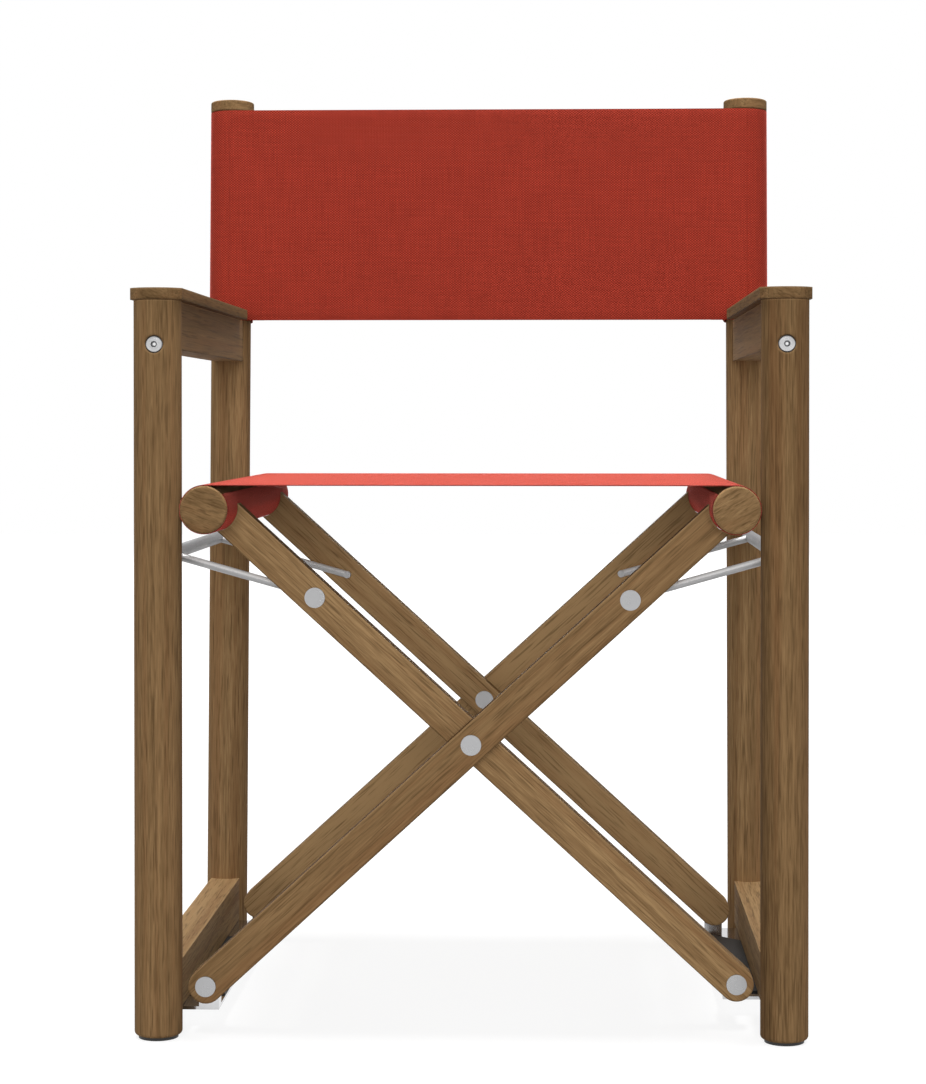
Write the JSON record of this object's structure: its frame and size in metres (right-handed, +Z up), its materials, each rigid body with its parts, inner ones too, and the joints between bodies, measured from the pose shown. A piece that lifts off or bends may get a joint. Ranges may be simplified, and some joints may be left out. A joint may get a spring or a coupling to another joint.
{
  "type": "director chair",
  "caption": "Folding director chair with round wooden legs, flat armrests, a crossed folding underframe, and a red woven sling seat and back.",
  "frame": {"origin": "bottom centre of the open chair's bounding box, on the floor", "axes": "+X to the right as seen from the front, +Y to the back, +Z up"},
  "size_m": [0.5808, 0.5282, 0.8629],
  "materials": {
    "teak": "oiled, fine straight grain",
    "sling_fabric": "matt basket weave",
    "pin_cap_steel": "satin",
    "stay_steel": "satin",
    "bracket_steel": "polished",
    "bolt_steel": "polished",
    "screw_steel": "plain",
    "black_nylon": "matt"
  },
  "bodies": {
    "left_frame": {"left_front_leg": "teak", "left_rear_leg": "teak", "left_armrest": "teak", "left_upper_rail": "teak", "left_lower_rail": "teak", "left_arm_bolt": "bolt_steel", "left_barrel_nut": "screw_steel", "left_frame_dowels": "teak", "left_armrest_screws": "screw_steel", "left_pivot_bracket": "bracket_steel", "left_bracket_screws": "screw_steel", "left_foot_glides": "black_nylon", "left_bottom_pins": "pin_cap_steel", "left_post_cap": "teak", "left_bracket_liner": "black_nylon", "back_sling": "sling_fabric"},
    "outer_bars": {"outer_front_bar": "teak", "outer_rear_bar": "teak", "right_seat_rail": "teak", "right_rail_screws": "screw_steel", "right_stay_pin": "pin_cap_steel", "cross_pins": "pin_cap_steel", "cross_washers": "black_nylon"},
    "inner_bars": {"inner_front_bar": "teak", "inner_rear_bar": "teak", "left_seat_rail": "teak", "left_rail_screws": "screw_steel", "left_stay_pin": "pin_cap_steel", "seat_sling": "sling_fabric"},
    "right_frame": {"right_front_leg": "teak", "right_rear_leg": "teak", "right_armrest": "teak", "right_upper_rail": "teak", "right_lower_rail": "teak", "right_arm_bolt": "bolt_steel", "right_barrel_nut": "screw_steel", "right_frame_dowels": "teak", "right_armrest_screws": "screw_steel", "right_pivot_bracket": "bracket_steel", "right_bracket_screws": "screw_steel", "right_foot_glides": "black_nylon", "right_bottom_pins": "pin_cap_steel", "right_post_cap": "teak", "right_bracket_liner": "black_nylon", "right_pin_sleeve": "black_nylon"},
    "left_stay": {"left_stay_tube": "stay_steel", "left_stay_front_arm": "stay_steel", "left_stay_rear_arm": "stay_steel"},
    "right_stay": {"right_stay_tube": "stay_steel", "right_stay_front_arm": "stay_steel", "right_stay_rear_arm": "stay_steel"}
  },
  "joints": [
    {"name": "fold", "type": "hinge", "parent": "left_frame", "child": "outer_bars", "pos_m": [-0.2301, -0.02768, 0.0391], "axis": [0, -1, 0], "range_deg": [0, 40.6], "deforming": ["back_sling"]},
    {"name": "cross", "type": "hinge", "parent": "outer_bars", "child": "inner_bars", "pos_m": [0, -0.02768, 0.2494], "axis": [0, -1, 0], "range_deg": [-83.4, 0], "deforming": ["seat_sling"]},
    {"name": "right_foot", "type": "hinge", "parent": "inner_bars", "child": "right_frame", "pos_m": [0.2301, -0.02768, 0.0391], "axis": [0, -1, 0], "range_deg": [0, 40.8]},
    {"name": "left_stay_pivot", "type": "hinge", "parent": "left_frame", "child": "left_stay", "pos_m": [-0.268, -0.02768, 0.4116], "axis": [0, -1, 0], "range_deg": [0, 80]},
    {"name": "right_stay_pivot", "type": "hinge", "parent": "right_frame", "child": "right_stay", "pos_m": [0.268, -0.02768, 0.4116], "axis": [0, -1, 0], "range_deg": [-80, 0]}
  ],
  "couplings": [
    {"joint": "cross", "follows": "fold", "ratio": -2.0486},
    {"joint": "right_foot", "follows": "fold", "ratio": 1},
    {"joint": "left_stay_pivot", "follows": "fold", "ratio": 1.9638},
    {"joint": "right_stay_pivot", "follows": "fold", "ratio": -1.9638}
  ]
}
